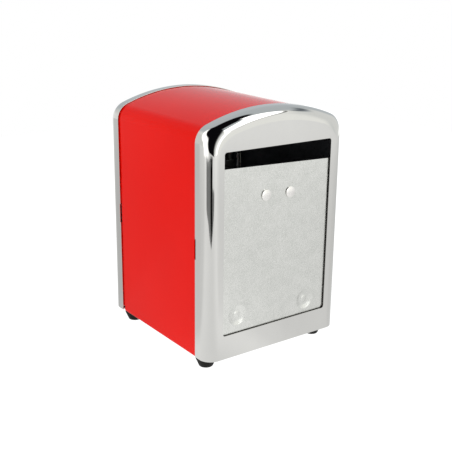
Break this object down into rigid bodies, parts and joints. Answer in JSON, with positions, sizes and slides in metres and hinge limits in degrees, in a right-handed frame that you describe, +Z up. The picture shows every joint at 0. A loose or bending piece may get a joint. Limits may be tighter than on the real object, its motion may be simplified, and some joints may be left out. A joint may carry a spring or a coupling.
{
  "type": "napkin dispenser",
  "caption": "Tabletop napkin dispenser with an arched red sheet steel casing, chrome faceplates at both ends and sprung pressure plates behind their windows.",
  "frame": {"origin": "on the table, below the middle of the object", "axes": "+Z up, -Y out of the front faceplate, +X to the right when seen from the front"},
  "size_m": [0.097, 0.108, 0.1484],
  "materials": {
    "red_enamel": "smooth semi-gloss red enamel",
    "chrome": "polished chrome plate",
    "galvanised": "satin galvanised sheet with a fine mottle",
    "zinc_steel": "bright zinc plated steel",
    "dark_steel": "dark cold-rolled steel, oiled",
    "spring_steel": "dark oil-tempered spring wire",
    "rubber": "matt black rubber"
  },
  "bodies": {
    "casing": {"casing_shell": "red_enamel", "base_plate": "dark_steel", "spring_anchor": "dark_steel", "anchor_rivet_left": "zinc_steel", "anchor_rivet_right": "zinc_steel", "spring_peg": "zinc_steel", "front_spring": "spring_steel", "rear_spring": "spring_steel", "foot_front_left": "rubber", "foot_front_right": "rubber", "foot_rear_left": "rubber", "foot_rear_right": "rubber", "foot_screw_front_left": "zinc_steel", "foot_screw_front_right": "zinc_steel", "foot_screw_rear_left": "zinc_steel", "foot_screw_rear_right": "zinc_steel", "foot_nut_front_left": "zinc_steel", "foot_nut_front_right": "zinc_steel", "foot_nut_rear_left": "zinc_steel", "foot_nut_rear_right": "zinc_steel"},
    "front_frame": {"front_faceplate": "chrome"},
    "rear_frame": {"rear_faceplate": "chrome"},
    "front_follower": {"front_pressure_plate": "galvanised", "front_spring_strap": "dark_steel", "front_strap_rivet_left": "zinc_steel", "front_strap_rivet_right": "zinc_steel", "front_shoe_rivet_left": "galvanised", "front_shoe_rivet_right": "galvanised", "front_guide_shoe_left": "zinc_steel", "front_guide_shoe_right": "zinc_steel", "front_guide_stud_left": "zinc_steel", "front_guide_stud_right": "zinc_steel"},
    "rear_follower": {"rear_pressure_plate": "galvanised", "rear_spring_strap": "dark_steel", "rear_strap_rivet_left": "zinc_steel", "rear_strap_rivet_right": "zinc_steel", "rear_shoe_rivet_left": "galvanised", "rear_shoe_rivet_right": "galvanised", "rear_guide_shoe_left": "zinc_steel", "rear_guide_shoe_right": "zinc_steel", "rear_guide_stud_left": "zinc_steel", "rear_guide_stud_right": "zinc_steel"}
  },
  "joints": [
    {"name": "front_faceplate_pull", "type": "slide", "parent": "casing", "child": "front_frame", "axis": [0, -1, 0], "range_m": [0, 0.042]},
    {"name": "rear_faceplate_pull", "type": "slide", "parent": "casing", "child": "rear_frame", "axis": [0, 1, 0], "range_m": [0, 0.042]},
    {"name": "front_follower_push", "type": "slide", "parent": "casing", "child": "front_follower", "axis": [0, 1, 0], "range_m": [0, 0.034], "stiffness_N_per_m": 60, "springref_m": -0.05, "deforming": ["front_spring"]},
    {"name": "rear_follower_push", "type": "slide", "parent": "casing", "child": "rear_follower", "axis": [0, -1, 0], "range_m": [0, 0.034], "stiffness_N_per_m": 60, "springref_m": -0.05, "deforming": ["rear_spring"]}
  ]
}
